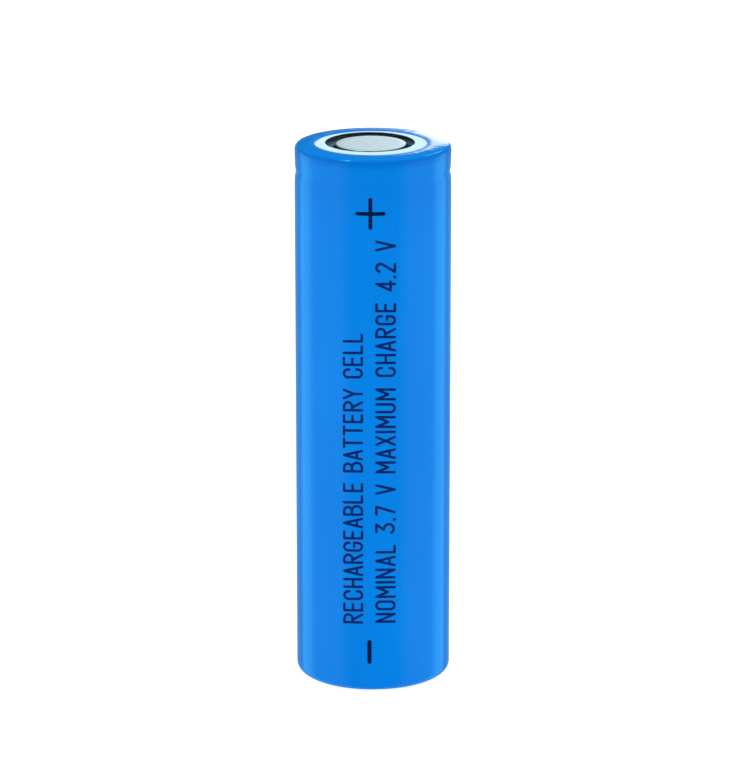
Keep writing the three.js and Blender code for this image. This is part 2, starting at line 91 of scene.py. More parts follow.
def ring_noise(theta, v, around, k=0):
    """Smooth noise, -1 to 1, that closes on itself around the axis."""
    u = (theta / TAU) % 1.0 * around
    i, j = math.floor(u), math.floor(v)
    fu, fv = u - i, v - j
    fu, fv = fu * fu * (3 - 2 * fu), fv * fv * (3 - 2 * fv)
    a = hash01(i % around, j, k)
    b = hash01((i + 1) % around, j, k)
    c = hash01(i % around, j + 1, k)
    d = hash01((i + 1) % around, j + 1, k)
    return 2 * ((a * (1 - fu) + b * fu) * (1 - fv) + (c * (1 - fu) + d * fu) * fv) - 1


def smooth(a, b, x):
    t = min(max((x - a) / (b - a), 0.0), 1.0)
    return t * t * (3 - 2 * t)


# ------------------------------------------------------------------ mesh helpers
def new_object(name, verts, faces, smooth_angle=40.0):
    me = bpy.data.meshes.new(name)
    me.from_pydata([tuple(c * MM for c in v) for v in verts], [], faces)
    me.validate(clean_customdata=False)
    me.update()
    ob = bpy.data.objects.new(name, me)
    scene.collection.objects.link(ob)
    bm = bmesh.new()
    bm.from_mesh(me)
    bmesh.ops.remove_doubles(bm, verts=bm.verts, dist=1e-7)
    bmesh.ops.recalc_face_normals(bm, faces=bm.faces)
    if bm.calc_volume(signed=True) < 0:
        bmesh.ops.reverse_faces(bm, faces=bm.faces)
    bm.to_mesh(me)
    bm.free()
    me.polygons.foreach_set("use_smooth", [True] * len(me.polygons))
    me.set_sharp_from_angle(angle=math.radians(smooth_angle))
    me.update()
    return ob


def arc(cr, cz, radius, a0, a1, n, high=None):
    high = radius if high is None else high
    return [
        (cr + radius * math.cos(math.radians(a0 + (a1 - a0) * i / n)), cz + high * math.sin(math.radians(a0 + (a1 - a0) * i / n)))
        for i in range(n + 1)
    ]


def line(p, q, n):
    """Points from p to q, without p."""
    return [(p[0] + (q[0] - p[0]) * i / n, p[1] + (q[1] - p[1]) * i / n) for i in range(1, n + 1)]


def rounded(points, closed=True, steps=5):
    """Rounds each corner of an (r, z) outline: a point is (r, z) or (r, z, radius)."""
    out = []
    n = len(points)
    for i, p in enumerate(points):
        rad = p[2] if len(p) > 2 else 0.0
        if rad <= 0 or (not closed and i in (0, n - 1)):
            out.append((p[0], p[1]))
            continue
        here = Vector(p[:2])
        a = Vector(points[(i - 1) % n][:2]) - here
        b = Vector(points[(i + 1) % n][:2]) - here
        la, lb = a.length, b.length
        a.normalize()
        b.normalize()
        half = a.angle(b) / 2
        d = min(rad / math.tan(half), 0.49 * la, 0.49 * lb)
        r = d * math.tan(half)
        centre = here + (a + b).normalized() * (r / math.sin(half))
        s = here + a * d - centre
        e = here + b * d - centre
        sa, ea = math.atan2(s.y, s.x), math.atan2(e.y, e.x)
        da = (ea - sa + math.pi) % TAU - math.pi
        for k in range(steps + 1):
            t = sa + da * k / steps
            out.append((centre.x + r * math.cos(t), centre.y + r * math.sin(t)))
    return out


def revolve(name, profile, segments=256, shift=None, smooth_angle=40.0, aside=None):
    """Turns an (r, z) outline about Z. Points on the axis are merged. shift(theta, r, z, nr, nz) moves a point along its normal, and aside(r, z) moves it along X."""
    n = len(profile)
    on_axis = profile[0][0] < 1e-9 and profile[-1][0] < 1e-9
    closed = not on_axis
    area = sum(profile[i][0] * profile[(i + 1) % n][1] - profile[(i + 1) % n][0] * profile[i][1] for i in range(n))
    sign = 1.0 if area > 0 else -1.0
    normals = []
    for i in range(n):
        a = profile[(i - 1) % n] if closed or i > 0 else profile[i]
        b = profile[(i + 1) % n] if closed or i < n - 1 else profile[i]
        dr, dz = b[0] - a[0], b[1] - a[1]
        m = math.hypot(dr, dz) or 1.0
        normals.append((sign * dz / m, -sign * dr / m))
    verts, index = [], []
    for i, (r, z) in enumerate(profile):
        if r < 1e-9:
            index.append([len(verts)] * segments)
            verts.append((0.0, 0.0, z))
            continue
        row = []
        for s in range(segments):
            th = TAU * s / segments
            rr, zz = r, z
            if shift:
                d = shift(th, r, z, *normals[i])
                rr, zz = r + normals[i][0] * d, z + normals[i][1] * d
            row.append(len(verts))
            verts.append((rr * math.cos(th) + (aside(r, z) if aside else 0.0), rr * math.sin(th), zz))
        index.append(row)
    faces = []
    for i in range(n if closed else n - 1):
        a, b = index[i], index[(i + 1) % n]
        for s in range(segments):
            t = (s + 1) % segments
            q = [a[s], a[t], b[t], b[s]]
            q = [v for k, v in enumerate(q) if v != q[k - 1]]
            if len(q) >= 3:
                faces.append(q)
    return new_object(name, verts, faces, smooth_angle)


# ------------------------------------------------------------------ node helpers
class Nodes:
    def __init__(self, name, diffuse=(0.5, 0.5, 0.5, 1)):
        self.mat = bpy.data.materials.new(name)
        self.mat.use_nodes = True
        self.mat.diffuse_color = diffuse
        self.t = self.mat.node_tree
        self.t.nodes.clear()
        self.out = self.t.nodes.new("ShaderNodeOutputMaterial")
        self.bsdf = self.t.nodes.new("ShaderNodeBsdfPrincipled")
        self.t.links.new(self.bsdf.outputs[0], self.out.inputs["Surface"])
        self.coord = self.t.nodes.new("ShaderNodeTexCoord")

    def new(self, kind, **values):
        n = self.t.nodes.new(kind)
        for k, v in values.items():
            if hasattr(n, k):
                setattr(n, k, v)
            else:
                n.inputs[k.replace("_", " ")].default_value = v
        return n

    def link(self, a, b):
        self.t.links.new(a, b)
        return b

    def scaled(self, x, y, z):
        """Object coordinates in millimetres, stretched by these factors."""
        m = self.t.nodes.new("ShaderNodeMapping")
        m.inputs["Scale"].default_value = (x / MM, y / MM, z / MM)
        self.link(self.coord.outputs["Object"], m.inputs["Vector"])
        return m.outputs["Vector"]

    def height(self):
        """The height in millimetres."""
        s = self.t.nodes.new("ShaderNodeSeparateXYZ")
        self.link(self.scaled(1.0, 1.0, 1.0), s.inputs[0])
        return s.outputs["Z"]

    def noise(self, vector, scale=1.0, detail=2.0, rough=0.5, distortion=0.0):
        n = self.t.nodes.new("ShaderNodeTexNoise")
        n.inputs["Scale"].default_value = scale
        n.inputs["Detail"].default_value = detail
        n.inputs["Roughness"].default_value = rough
        n.inputs["Distortion"].default_value = distortion
        self.link(vector, n.inputs["Vector"])
        return n.outputs["Fac"]

    def ramp(self, fac, lo, hi, a=0.0, b=1.0):
        n = self.t.nodes.new("ShaderNodeMapRange")
        n.interpolation_type = "SMOOTHSTEP"
        n.inputs["From Min"].default_value = lo
        n.inputs["From Max"].default_value = hi
        n.inputs["To Min"].default_value = a
        n.inputs["To Max"].default_value = b
        self.link(fac, n.inputs["Value"])
        return n.outputs["Result"]

    def math(self, op, a, b=0.5):
        n = self.t.nodes.new("ShaderNodeMath")
        n.operation = op
        for i, v in enumerate((a, b)):
            if isinstance(v, (int, float)):
                n.inputs[i].default_value = v
            else:
                self.link(v, n.inputs[i])
        return n.outputs[0]

    def mix(self, fac, a, b):
        n = self.t.nodes.new("ShaderNodeMix")
        n.data_type = "RGBA"
        for sock, v in ((n.inputs["Factor"], fac), (n.inputs[6], a), (n.inputs[7], b)):
            if isinstance(v, (int, float)):
                sock.default_value = v
            elif isinstance(v, tuple):
                sock.default_value = v if len(v) == 4 else (*v, 1.0)
            else:
                self.link(v, sock)
        return n.outputs[2]

    def bump(self, height, distance_mm, strength=1.0, normal=None):
        n = self.t.nodes.new("ShaderNodeBump")
        n.inputs["Strength"].default_value = strength
        n.inputs["Distance"].default_value = distance_mm * MM
        self.link(height, n.inputs["Height"])
        if normal is not None:
            self.link(normal, n.inputs["Normal"])
        return n.outputs["Normal"]

    def set(self, **values):
        for k, v in values.items():
            sock = self.bsdf.inputs[k.replace("_", " ")]
            if isinstance(v, (int, float)):
                sock.default_value = v
            elif isinstance(v, tuple):
                sock.default_value = v if len(v) == 4 else (*v, 1.0)
            else:
                self.link(v, sock)
        return self


def srgb(r, g, b):
    f = lambda c: c / 12.92 if c <= 0.04045 else ((c + 0.055) / 1.055) ** 2.4
    return tuple(f(c / 255.0) for c in (r, g, b))


def wear(ob, mat):
    ob.data.materials.clear()
    ob.data.materials.append(mat)


# ------------------------------------------------------------------ materials
def film_material():
    """Heat-shrunk film: saturated blue, glossy, with faint lengthwise draw lines and a soft orange peel, a band of
    painted shade along the shoulder and painted light on the top face of the lip.
    """
    m = Nodes("blue_shrink_film", (0.0, 0.22, 0.8, 1))
    draw = m.noise(m.scaled(1.6, 1.6, 0.03), 1.0, 3.0, 0.6)
    fine = m.noise(m.scaled(7.0, 7.0, 0.09), 1.0, 2.0, 0.6)
    peel = m.noise(m.scaled(1.4, 1.4, 1.1), 1.0, 2.0, 0.5)
    broad = m.noise(m.scaled(0.11, 0.11, 0.05), 1.0, 2.0, 0.5)
    specks = m.noise(m.scaled(9.0, 9.0, 9.0), 1.0, 1.0, 0.5)
    tone = m.mix(m.ramp(broad, 0.3, 0.7), srgb(0, 121, 216), srgb(0, 125, 221))
    tone = m.mix(m.ramp(draw, 0.35, 0.75, 0.0, 0.35), tone, srgb(0, 116, 210))
    tone = m.mix(m.ramp(specks, 0.70, 0.80, 0.0, 0.3), tone, srgb(0, 104, 196))
    up = m.height()
    # the shoulder band, 63.5 mm to 64.85 mm up, used as the mask for painted shade
    painted_shoulder_shade = m.math("MULTIPLY", m.ramp(up, 63.5, 64.35), m.ramp(up, 64.5, 64.85, 1.0, 0.0))
    # darker from 55 mm up towards the shoulder, fading out again above 64.3 mm
    tone = m.mix(m.math("MULTIPLY", m.ramp(up, 55.0, 61.5, 0.0, 0.6), m.ramp(up, 64.3, 64.9, 1.0, 0.0)), tone, srgb(0, 117, 209))
    # painted shade: the shoulder band is darkened
    tone = m.mix(m.math("MULTIPLY", painted_shoulder_shade, 0.75), tone, srgb(0, 103, 194))
    # painted light: the top face of the lip and the top of the shoulder, above 64.7 mm, are made lighter
    tone = m.mix(m.ramp(up, 64.7, 64.92, 0.0, 0.8), tone, srgb(0, 131, 224))
    rough = m.math("ADD", m.ramp(draw, 0.3, 0.8, 0.055, 0.085), m.ramp(peel, 0.3, 0.8, 0.0, 0.02))
    n1 = m.bump(peel, 0.010, 0.30)
    n2 = m.bump(fine, 0.004, 0.35, n1)
    m.set(Base_Color=tone, Roughness=rough, IOR=1.5, Normal=n2)
    return m.mat


def ink_material(name, dark, light):
    """Dark printing ink, a little uneven in density, less glossy than the film."""
    m = Nodes(name, (0.0, 0.02, 0.1, 1))
    density = m.noise(m.scaled(3.0, 3.0, 3.0), 1.0, 3.0, 0.6)
    grain = m.noise(m.scaled(20.0, 20.0, 20.0), 1.0, 2.0, 0.5)
    col = m.mix(m.ramp(density, 0.3, 0.75), dark, light)
    m.set(Base_Color=col, Roughness=m.ramp(grain, 0.3, 0.7, 0.20, 0.28), IOR=1.5, Specular_IOR_Level=0.14, Normal=m.bump(grain, 0.003, 0.4))
    return m.mat


def fibre_material():
    """Pressed fibre board: white, matt, with matted short fibres and a slightly rough cut edge."""
    m = Nodes("white_pressed_fibre", (0.9, 0.95, 1.0, 1))
    fibres = m.noise(m.scaled(5.0, 5.0, 5.0), 1.0, 5.0, 0.65, 1.6)
    clumps = m.noise(m.scaled(1.3, 1.3, 1.3), 1.0, 3.0, 0.5)
    col = m.mix(m.ramp(fibres, 0.30, 0.70), srgb(184, 217, 230), srgb(193, 224, 236))
    col = m.mix(m.ramp(clumps, 0.55, 0.8, 0.0, 0.35), col, srgb(178, 211, 225))
    n1 = m.bump(fibres, 0.03, 0.45)
    m.set(Base_Color=col, Roughness=m.ramp(fibres, 0.3, 0.7, 0.72, 0.9), IOR=1.45, Normal=n1)
    m.set(Sheen_Weight=0.08, Sheen_Roughness=0.6)
    return m.mat


def nickel_material(name, base, low, high, lines=(0.25, 0.25, 6.0), strength=0.25, tint=None, metal=1.0, face=None):
    """Nickel-plated pressed steel: pale, slightly warm or cool patches, fine polish marks; with face given, painted
    shade on the wall below that height.
    """
    m = Nodes(name, (*base, 1))
    cloud = m.noise(m.scaled(0.5, 0.5, 0.5), 1.0, 3.0, 0.55)
    grain = m.noise(m.scaled(14.0, 14.0, 14.0), 1.0, 3.0, 0.6)
    marks = m.noise(m.scaled(*lines), 1.0, 3.0, 0.65)
    other = tint or tuple(c * 0.93 for c in base)
    col = m.mix(m.ramp(cloud, 0.3, 0.7), base, other)
    col = m.mix(m.ramp(marks, 0.62, 0.8, 0.0, 0.25 * metal), col, tuple(c * 0.8 for c in base))
    rough = m.math("ADD", m.ramp(cloud, 0.3, 0.7, low, (low + high) / 2), m.ramp(grain, 0.3, 0.7, 0.0, (high - low) / 2))
    n1 = m.bump(grain, 0.003, strength)
    n2 = m.bump(marks, 0.006, strength, n1)
    if face is not None:  # with face given, the wall below the contact face at this height is rougher and fully metallic, and its colour is darkened as painted shade for the recess
        top = m.ramp(m.height(), face - 0.16, face - 0.03)
        rough = m.math("MAXIMUM", rough, m.ramp(m.height(), face - 0.09, face - 0.015, 0.6, 0.0))
        # painted shade: the wall below the face takes 0.22 of the base colour
        col = m.mix(top, tuple(c * 0.22 for c in base), col)
        metal = m.math("ADD", m.math("MULTIPLY", top, metal - 1.0), 1.0)
    m.set(Base_Color=col, Metallic=metal, Roughness=rough, Normal=n2)
    return m.mat


def moulded_material(name, dark, light, rough=(0.42, 0.55), ior=1.49):
    """Moulded plastic: faint flow marks in the colour and a fine tool texture."""
    m = Nodes(name, (*dark, 1))
    flow = m.noise(m.scaled(0.7, 0.7, 2.2), 1.0, 3.0, 0.5, 0.8)
    tool = m.noise(m.scaled(12.0, 12.0, 12.0), 1.0, 2.0, 0.5)
    m.set(
        Base_Color=m.mix(m.ramp(flow, 0.3, 0.7), dark, light),
        Roughness=m.ramp(tool, 0.3, 0.7, *rough),
        IOR=ior,
        Normal=m.bump(tool, 0.006, 0.35),
    )
    return m.mat


def coated_material(name, a, b, rough, metallic=0.0):
    """Electrode coating: packed grains, rolled smooth."""
    m = Nodes(name, (*a, 1))
    grains = m.noise(m.scaled(22.0, 22.0, 22.0), 1.0, 3.0, 0.7)
    rolled = m.noise(m.scaled(1.5, 1.5, 0.12), 1.0, 2.0, 0.5)
    m.set(
        Base_Color=m.mix(m.ramp(grains, 0.3, 0.7), a, b),
        Metallic=metallic,
        Roughness=m.ramp(rolled, 0.3, 0.7, rough - 0.06, rough + 0.06),
        Normal=m.bump(grains, 0.006, 0.5),
    )
    return m.mat


def membrane_material():
    """Microporous film: white, slightly sheer, satin, with fine lengthwise stretch lines."""
    m = Nodes("separator_membrane", (0.93, 0.93, 0.91, 1))
    stretch = m.noise(m.scaled(0.6, 0.6, 9.0), 1.0, 3.0, 0.6)
    pores = m.noise(m.scaled(30.0, 30.0, 30.0), 1.0, 2.0, 0.5)
    m.set(
        Base_Color=m.mix(m.ramp(stretch, 0.3, 0.7), (0.84, 0.85, 0.83), (0.91, 0.915, 0.90)),
        Roughness=m.ramp(pores, 0.3, 0.7, 0.4, 0.55),
        Normal=m.bump(pores, 0.002, 0.4),
    )
    m.set(Sheen_Weight=0.15)
    return m.mat


def strip_metal_material(name, base, rough=0.34):
    """Rolled metal strip or sheet: lines along the rolling direction, light scuffs."""
    m = Nodes(name, (*base, 1))
    rolled = m.noise(m.scaled(0.35, 9.0, 3.0), 1.0, 4.0, 0.65)
    scuff = m.noise(m.scaled(1.2, 1.2, 1.2), 1.0, 3.0, 0.6)
    col = m.mix(m.ramp(scuff, 0.4, 0.8, 0.0, 0.5), base, tuple(c * 0.84 for c in base))
    m.set(
        Base_Color=col,
        Metallic=1.0,
        Roughness=m.ramp(rolled, 0.25, 0.75, rough - 0.08, rough + 0.1),
        Normal=m.bump(rolled, 0.004, 0.4),
    )
    return m.mat


def tape_material(name, base, deep):
    """Adhesive tape: glossy, translucent-looking tone with small trapped bubbles."""
    m = Nodes(name, (*base, 1))
    wave = m.noise(m.scaled(0.8, 0.8, 0.8), 1.0, 2.0, 0.5)
    bubbles = m.noise(m.scaled(6.0, 6.0, 6.0), 1.0, 1.0, 0.5)
    col = m.mix(m.ramp(wave, 0.3, 0.7), base, deep)
    col = m.mix(m.ramp(bubbles, 0.68, 0.75, 0.0, 0.5), col, tuple(min(1.0, c * 1.25) for c in base))
    m.set(Base_Color=col, Roughness=m.ramp(wave, 0.3, 0.7, 0.16, 0.26), IOR=1.6, Normal=m.bump(wave, 0.01, 0.3))
    return m.mat


# ------------------------------------------------------------------ camera: the photograph's viewing angle
cam_data = bpy.data.cameras.new("view")
cam = bpy.data.objects.new("view", cam_data)
scene.collection.objects.link(cam)
scene.camera = cam
F_PX = 3937.57
cam_data.sensor_width = 36.0
cam_data.lens = F_PX * 36.0 / 759.0
cam_data.clip_start = 0.01
cam_data.clip_end = 50.0
cam.location = (0.353 * MM, -450.56 * MM, 164.89 * MM)
cam.rotation_euler = (math.pi / 2 - 0.2784, 0.0, 0.0)

# ------------------------------------------------------------------ sleeve
BUMPS = [  # small raised wrinkles on the top shoulder: azimuth from the front, width, height
    (-17.6, 3.2, 0.020),
    (43.5, 3.0, 0.022),
    (96.0, 4.2, 0.016),
    (151.0, 3.4, 0.020),
    (-71.0, 3.8, 0.014),
    (-128.0, 3.0, 0.020),
]


SHOULDER_TO = math.degrees(math.atan2(SHOULDER_H, SHOULDER * LIP_SLOPE))  # where the corner meets the lip
LIP_END = R_SHOULDER - SHOULDER + SHOULDER * math.cos(math.radians(SHOULDER_TO))
SHOULDER_Z = CREST_Z - 0.5 * LIP_SLOPE * (LIP_END - CREST_R) - SHOULDER_H * math.sin(math.radians(SHOULDER_TO))


def film_radius(z):
    """Outer radius of the straight part of the film at height z."""
    t = (z - 61.05) / (SHOULDER_Z - 61.05)
    base = R_BODY if z <= 60.2 else R_BODY - 0.06 * smooth(60.2, 61.5, z) + 0.05 * smooth(0.35, 1.0, t)
    u = abs(z - BEAD_Z) / 0.74
    return base - (0.085 * math.cos(math.pi * u / 2) ** 2 if u < 1 else 0.0)


def film_shift(th, r, z, nr, nz):
    """How far the film stands off its smooth shape: slow waves, gathers at the ends, small wrinkles."""
    front = (math.degrees(th) + 90.0 + 180.0) % 360.0 - 180.0  # 0 at the side facing the camera
    d = 0.0045 * ring_noise(th, z / 7.0, 9) + 0.0025 * ring_noise(th, z / 2.6, 26, 3)
    if z > 60.4:
        groove = math.exp(-(((z - BEAD_Z) / 0.5) ** 2))
        d += 0.04 * groove * smooth(0.1, 0.7, math.cos(math.radians(front)))  # shallower where the film was heated most
        d += 0.016 * groove * ring_noise(th, 0.5, 34, 7)
    if nz > 0.1 or (nz > -0.5 and z > HEIGHT - 1.25):
        k = smooth(0.1, 0.8, nz)
        d += 0.009 * k * ring_noise(th, 0.5, 90, 11) * smooth(6.6, 8.9, r)
        d += 0.006 * k * ring_noise(th, 0.5, 31, 13)
        along = math.exp(-(((nz - 0.62) / 0.28) ** 2))
        for az, width, height in BUMPS:
            dd = (front - az + 180.0) % 360.0 - 180.0
            d += height * along * math.exp(-((dd / width) ** 2))
    if z < 0.8 and nz < -0.1:
        k = smooth(0.1, 0.9, -nz)
        d += -0.012 * k * (0.5 + 0.5 * ring_noise(th, 0.5, 70, 17)) - 0.006 * k * (0.5 + 0.5 * ring_noise(th, 0.5, 24, 19))
    return d


def lip_z(r):
    """Height of the film's top face: it falls away on both sides of its crest."""
    if r > CREST_R:
        return CREST_Z - 0.5 * LIP_SLOPE * (r - CREST_R) ** 2 / (LIP_END - CREST_R)
    return CREST_Z - (CREST_Z - LIP_TOP_Z) * ((CREST_R - r) / (CREST_R - LIP_TOP_R)) ** 2


def film_profile():
    rs = R_SHOULDER - SHOULDER
    outer = [(LIP_LOW_R, 0.012)]
    outer += line((LIP_LOW_R, 0.012), (R_BODY - HEEL, 0.012), 8)
    outer += arc(R_BODY - HEEL, HEEL + 0.012, HEEL, -90, 0, 14)[1:]
    zs = [HEEL + 0.012 + (60.6 - HEEL) * i / 60 for i in range(1, 61)]
    zs += [60.6 + i * 0.09 for i in range(1, 28)]
    zs += [63.03 + i * (SHOULDER_Z - 63.03) / 8 for i in range(1, 9)]
    outer += [(film_radius(z), z) for z in zs]
    outer += arc(rs, SHOULDER_Z, SHOULDER, 0, SHOULDER_TO, 20, SHOULDER_H)[1:]
    outer += [(r, lip_z(r)) for r in [LIP_END + (CREST_R - LIP_END) * i / 9 for i in range(1, 10)]]
    outer += [(r, lip_z(r)) for r in [CREST_R + (LIP_TOP_R - CREST_R) * i / 7 for i in range(1, 8)]]
    # cut edge at the top, then the inner face down to the cut edge at the bottom
    zt = outer[-1][1]
    edge_top = arc(LIP_TOP_R, zt - LIP_FILM / 2, LIP_FILM / 2, 90, 270, 6)[1:-1]
    edge_top = [(LIP_TOP_R - 0.6 * (LIP_TOP_R - p[0]), p[1]) for p in edge_top]
    inner = [(r, lip_z(r) - LIP_FILM - (FILM - LIP_FILM) * smooth(LIP_TOP_R, 7.3, r)) for r in (LIP_TOP_R, 6.8, 7.0, CREST_R, 7.5, 7.85, 8.2, 8.5)]
    inner += arc(rs, SHOULDER_Z, SHOULDER - FILM, SHOULDER_TO, 0, 8, SHOULDER_H - FILM)[1:]
    inner += [(film_radius(z) - FILM, z) for z in (63.4, 62.9, 62.4, 62.15, 62.0, 61.8, 61.6, 61.45, 61.2, 60.7)]
    inner += [(R_BODY - FILM, 60.6 - 59.8 * i / 6) for i in range(1, 6)]
    inner += arc(R_BODY - HEEL, HEEL + 0.012, HEEL - FILM, 0, -90, 8)
    inner += [(LIP_LOW_R, FILM + 0.012)]
    edge_low = arc(LIP_LOW_R, FILM / 2 + 0.012, FILM / 2, 90, 270, 6)[1:-1]
    edge_low = [(LIP_LOW_R - 0.6 * (LIP_LOW_R - p[0]), p[1]) for p in edge_low]
    return outer + edge_top + inner + edge_low, len(outer)


profile, outer_count = film_profile()
outer_set = {(round(r, 5), round(z, 5)) for r, z in profile[:outer_count]}


def shift_outer(th, r, z, nr, nz):
    if (round(r, 5), round(z, 5)) in outer_set:
        return film_shift(th, r, z, nr, nz)
    return 0.0


def lip_aside(r, z):
    return LIP_ASIDE * (1 - smooth(6.7, 8.6, r)) if z > 60 else 0.0


sleeve = revolve("sleeve_film", profile, 360, shift_outer, 60.0, lip_aside)
wear(sleeve, film_material())
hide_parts("shrink_sleeve")
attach(sleeve, "root")

# ------------------------------------------------------------------ fibre washer
WZ = W_LO[2]
W_T = 0.19
W_EDGE = 0.08  # pressed thin at the punched edge
W_IN = 5.25
W_ASIDE = -0.35  # the hole is punched a little off centre


def washer_z(r):
    return WZ + (W_HI[2] - W_T - WZ) * smooth(0, 1, (7.3 - r) / (7.3 - W_IN)) if r < 7.3 else WZ


def washer_profile():
    rs = [W_IN + 0.03 + (6.75 - W_IN - 0.03) * i / 14 for i in range(15)] + [7.1, 7.5, 7.9, 8.24]
    low = [(r, washer_z(r) + (W_T - W_EDGE) * smooth(5.75, W_IN, r)) for r in rs]
    high = [(r, washer_z(r) + W_T) for r in rs]
    a = low[-1][1]
    out = [(8.28, a + 0.04), (8.29, a + W_T / 2), (8.28, a + W_T - 0.04)]
    b = low[0][1]
    inn = [(W_IN + 0.006, b + W_EDGE - 0.015), (W_IN, b + W_EDGE / 2), (W_IN + 0.006, b + 0.015)]
    return low + out + high[::-1] + inn


def fibre_shift(th, r, z, nr, nz):
    d = 0.006 * ring_noise(th, r * 2.2, 60, 23) + 0.004 * ring_noise(th, r * 5.5, 150, 29)
    if r < W_IN + 0.1:
        d += 0.008 * ring_noise(th, z * 9, 70, 31) - 0.004
    return d - 0.008


def hole_aside(r, z):
    return W_ASIDE * (1 - smooth(5.3, 7.4, r))


washer = revolve("fibre_washer", washer_profile(), 288, fibre_shift, 50.0, hole_aside)
for v in washer.data.vertices:  # the punched hole is a little longer towards the back
    if v.co.y > 0:
        r = math.hypot(v.co.x, v.co.y) / MM
        v.co.y *= 1 + 0.075 * (1 - smooth(5.3, 7.2, r))
wear(washer, fibre_material())
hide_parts("insulating_washer")
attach(washer, "root")

# ------------------------------------------------------------------ steel can
CAN_TOP = C_HI[2]
CAN_R = 9.10
CURL_R = 9.03  # the crimped part above the groove
CURL = 0.60


def bead(depth, half, u):
    u = abs(u) / half
    return depth * (1 - smooth(0.35, 1.0, u)) if u < 1 else 0.0


def can_profile():
    f = C_LO[2]
    wall = 0.22
    p = [(0, f + 0.01), (0.5, f + 0.01), (0.9, f + 0.008), (1.15, f)]
    p += [(r, f) for r in (2.0, 3.0, 4.2)]
    p += [(4.5, f + 0.006), (4.62, f + 0.012), (4.74, f + 0.006), (4.9, f)]
    p += [(r, f) for r in (5.6, 6.4, 7.2, 7.9)]
    p += arc(CAN_R - 0.68, f + 0.68, 0.68, -90, 0, 12)
    p += [(CAN_R, z) for z in (5, 12, 20, 30, 40, 50, 58, 60.7)]
    for i in range(25):
        z = 61.06 + i * (62.54 - 61.06) / 24
        p.append((CAN_R - 0.02 * smooth(60.9, 61.2, z) - 0.06 * smooth(61.8, 62.4, z) - bead(1.3, 0.74, z - BEAD_Z), z))
    p += [(CURL_R - 0.01, 62.8), (CURL_R, 63.2)]
    p += arc(CURL_R - CURL, CAN_TOP - CURL, CURL, 0, 90, 12)
    p += [(7.6, CAN_TOP), (6.9, CAN_TOP)]
    p += arc(6.35 + 0.09, CAN_TOP - 0.09, 0.09, 90, 180, 4)
    p += arc(6.35 + 0.09, CAN_TOP - 0.22 + 0.09, 0.09, 180, 270, 4)
    p += [(7.0, CAN_TOP - 0.22)]
    p += arc(CURL_R - CURL, CAN_TOP - CURL, CURL - 0.2, 90, 0, 8)
    for i in range(25):
        z = 62.78 - i * (62.78 - 60.82) / 24
        p.append((CAN_R - wall - bead(1.34, 0.97, z - BEAD_Z), z))
    p += [(CAN_R - wall, z) for z in (58, 50, 40, 30, 20, 10, 2)]
    p += arc(CAN_R - wall - 0.45, f + 0.3 + 0.45, 0.45, 0, -90, 6)
    p += [(6, f + 0.3), (3, f + 0.3), (0, f + 0.3)]
    return p


can = revolve("can_shell", can_profile(), 224, None, 35.0)
wear(can, nickel_material("nickel_plated_can", srgb(205, 208, 210), 0.20, 0.32, (0.18, 0.18, 0.18), 0.3))
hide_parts("steel_can")
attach(can, "root")

# ------------------------------------------------------------------ gasket
GZ = G_LO[2]
GT = G_HI[2]


def gasket_profile():
    pts = [
        (6.45, GZ, 0.08),
        (8.3, GZ, 0.1),
        (8.74, GZ + 0.32, 0.12),
        (8.79, GT - 0.48, 0.10),
        (8.66, GT - 0.14, 0.14),
        (8.36, GT, 0.10),
        (4.72, GT, 0.10),
        (4.72, GT - 0.35, 0.08),
        (8.34, GT - 0.35, 0.03),
        (8.42, GT - 0.45, 0.03),
        (8.42, GZ + 0.38, 0.03),
        (6.45, GZ + 0.38, 0.08),
    ]
    return rounded(pts, True, 5)


gasket = revolve("gasket_ring", gasket_profile(), 224, None, 35.0)
# painted fill light: the black gasket's colour is lifted to slate grey because it sits in shade in the gap
wear(gasket, moulded_material("black_gasket_painted_fill", srgb(78, 95, 112), srgb(88, 106, 122), (0.38, 0.5)))
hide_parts("sealing_gasket")
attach(gasket, "root")

# ------------------------------------------------------------------ positive cap
CT = P_HI[2]
CF = P_LO[2]


def cap_profile():
    r = 4.14
    top = [(0, CT), (1.0, CT), (2.2, CT), (3.2, CT), (3.72, CT), (3.80, CT - 0.004), (3.86, CT - 0.010), (3.94, CT - 0.012)]
    edge = arc(r - 0.20, CT - 0.22, 0.21, 82, 12, 9)
    p = top + edge
    p += [(r + 0.07, CT - 0.36), (r + 0.14, CT - 0.50), (r + 0.20, CT - 0.62)]
    p += [(r + 0.27, CF + 0.43), (r + 0.36, CF + 0.375), (r + 0.5, CF + 0.36)]
    p += [(6.0, CF + 0.36), (8.32, CF + 0.36), (8.36, CF + 0.32), (8.36, CF + 0.04), (8.32, CF)]
    p += [(6.0, CF), (r + 0.2, CF), (r + 0.09, CF + 0.03), (r + 0.0, CF + 0.12)]
    p += [(r - 0.08, CT - 0.7), (r - 0.16, CT - 0.52), (r - 0.26, CT - 0.42), (r - 0.5, CT - 0.33)]
    p += [(2.2, CT - 0.33), (1.0, CT - 0.33), (0, CT - 0.33)]
    return p


def cap_aside(r, z):
    return -0.22 * (1 - smooth(4.3, 6.0, r))


cap = revolve("cap_terminal", cap_profile(), 240, None, 30.0, cap_aside)
